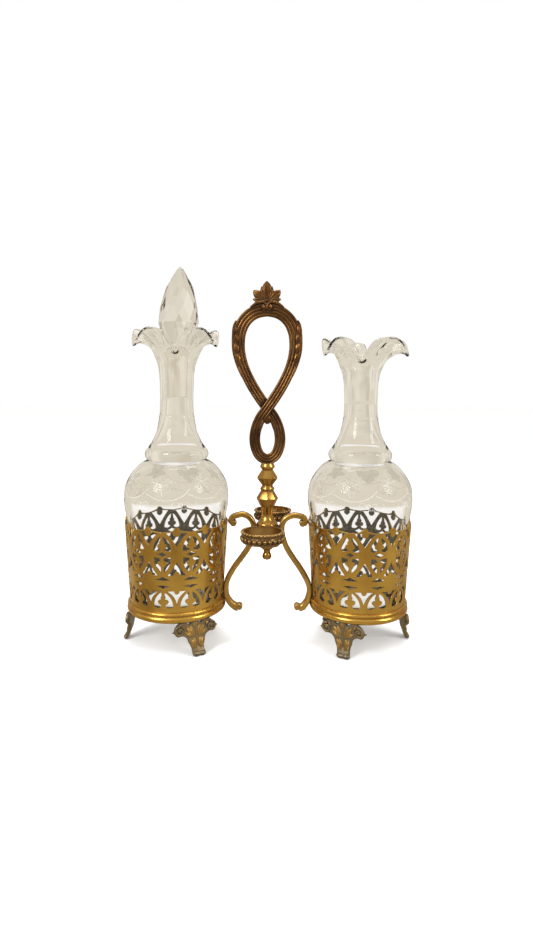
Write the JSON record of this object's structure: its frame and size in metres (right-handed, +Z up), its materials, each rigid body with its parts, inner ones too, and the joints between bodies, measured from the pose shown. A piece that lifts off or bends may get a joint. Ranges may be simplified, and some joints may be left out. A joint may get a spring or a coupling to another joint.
{
  "type": "cruet set",
  "caption": "Brass cruet stand with pierced baskets, faceted stem, looped handle and stopper rings, holding glass bottles with crimped lips and a spire stopper.",
  "frame": {"origin": "on the table, midway between the two baskets and at mid depth", "axes": "+Z up, +X from the basket with the stoppered bottle to the other basket, -Y towards the front stopper ring"},
  "size_m": [0.2018, 0.0972, 0.259],
  "materials": {
    "polished_brass": "polished, lightly tarnished",
    "antique_brass": "antique, dark in the recesses",
    "patinated_brass": "cast, grey-dark patina in the recesses",
    "steel": "plain",
    "clear_glass": "clear, polished, faint warm tint"
  },
  "bodies": {
    "stand": {"left_gallery": "polished_brass", "left_base_ring": "polished_brass", "left_floor": "polished_brass", "left_outer_foot": "patinated_brass", "left_front_foot": "patinated_brass", "left_back_foot": "patinated_brass", "left_arm": "antique_brass", "right_gallery": "polished_brass", "right_base_ring": "polished_brass", "right_floor": "polished_brass", "right_outer_foot": "patinated_brass", "right_front_foot": "patinated_brass", "right_back_foot": "patinated_brass", "right_arm": "antique_brass", "hub_block": "antique_brass", "ring_crossbar": "antique_brass", "front_stopper_ring": "antique_brass", "back_stopper_ring": "antique_brass", "stem_socket": "polished_brass", "lower_knop": "polished_brass", "ring_knop": "polished_brass", "upper_knop": "polished_brass", "top_collar": "polished_brass", "tie_rod": "steel", "drop_finial_nut": "polished_brass", "handle_loop": "antique_brass", "palmette_finial": "antique_brass"},
    "left_bottle_body": {"left_bottle": "clear_glass"},
    "right_bottle_body": {"right_bottle": "clear_glass"},
    "stopper_body": {"left_stopper": "clear_glass"}
  },
  "joints": [
    {"name": "left_bottle_lift", "type": "slide", "parent": "stand", "child": "left_bottle_body", "axis": [0, 0, 1], "range_m": [0, 0.12]},
    {"name": "right_bottle_lift", "type": "slide", "parent": "stand", "child": "right_bottle_body", "axis": [0, 0, 1], "range_m": [0, 0.12]},
    {"name": "stopper_lift", "type": "slide", "parent": "left_bottle_body", "child": "stopper_body", "axis": [0, 0, 1], "range_m": [0, 0.06]}
  ]
}
